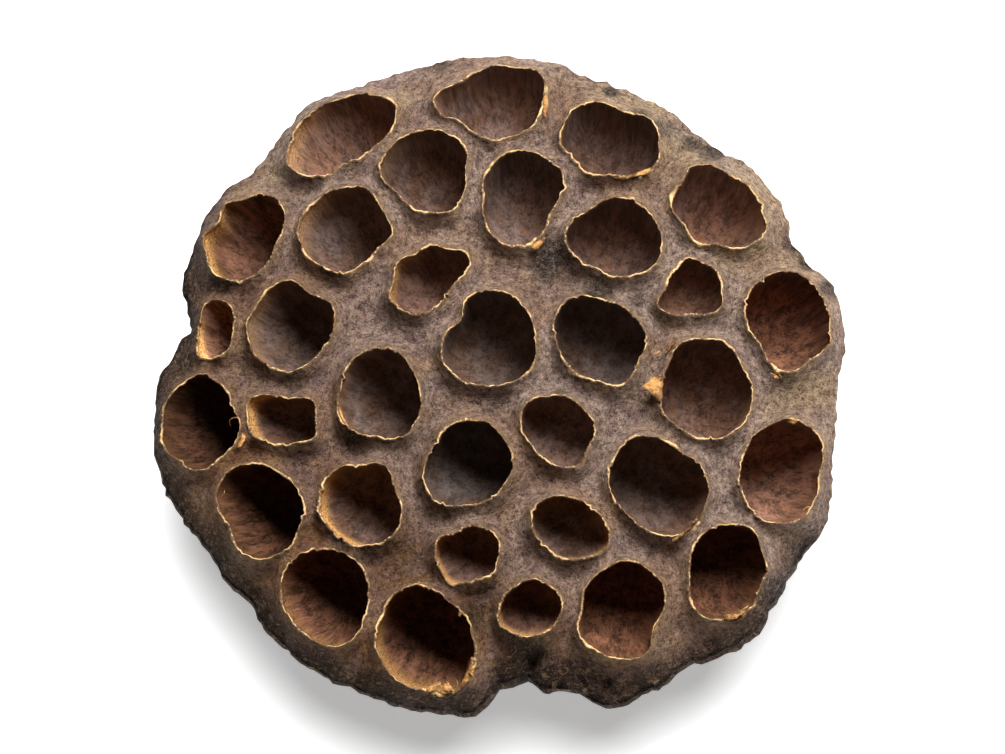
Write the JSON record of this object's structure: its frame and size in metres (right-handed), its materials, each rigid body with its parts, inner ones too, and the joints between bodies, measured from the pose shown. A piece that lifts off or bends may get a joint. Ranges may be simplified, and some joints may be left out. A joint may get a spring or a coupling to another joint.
{
  "type": "dried lotus pod",
  "caption": "Dried lotus seed head: a flat leathery face full of open round cells with papery rims, on a back that tapers to a short cut stem.",
  "frame": {"origin": "centre of the squarely cut end of the stem stub, where the pod stands", "axes": "+Z along the pod's axis, out of the face with the cells; +X to the right and +Y up as one looks straight at the face"},
  "size_m": [0.1005, 0.0979, 0.0573],
  "materials": {
    "pod_skin": "matt, leathery and finely wrinkled, with cream papery rims"
  },
  "bodies": {
    "root": {"lotus_pod": "pod_skin"}
  },
  "joints": []
}
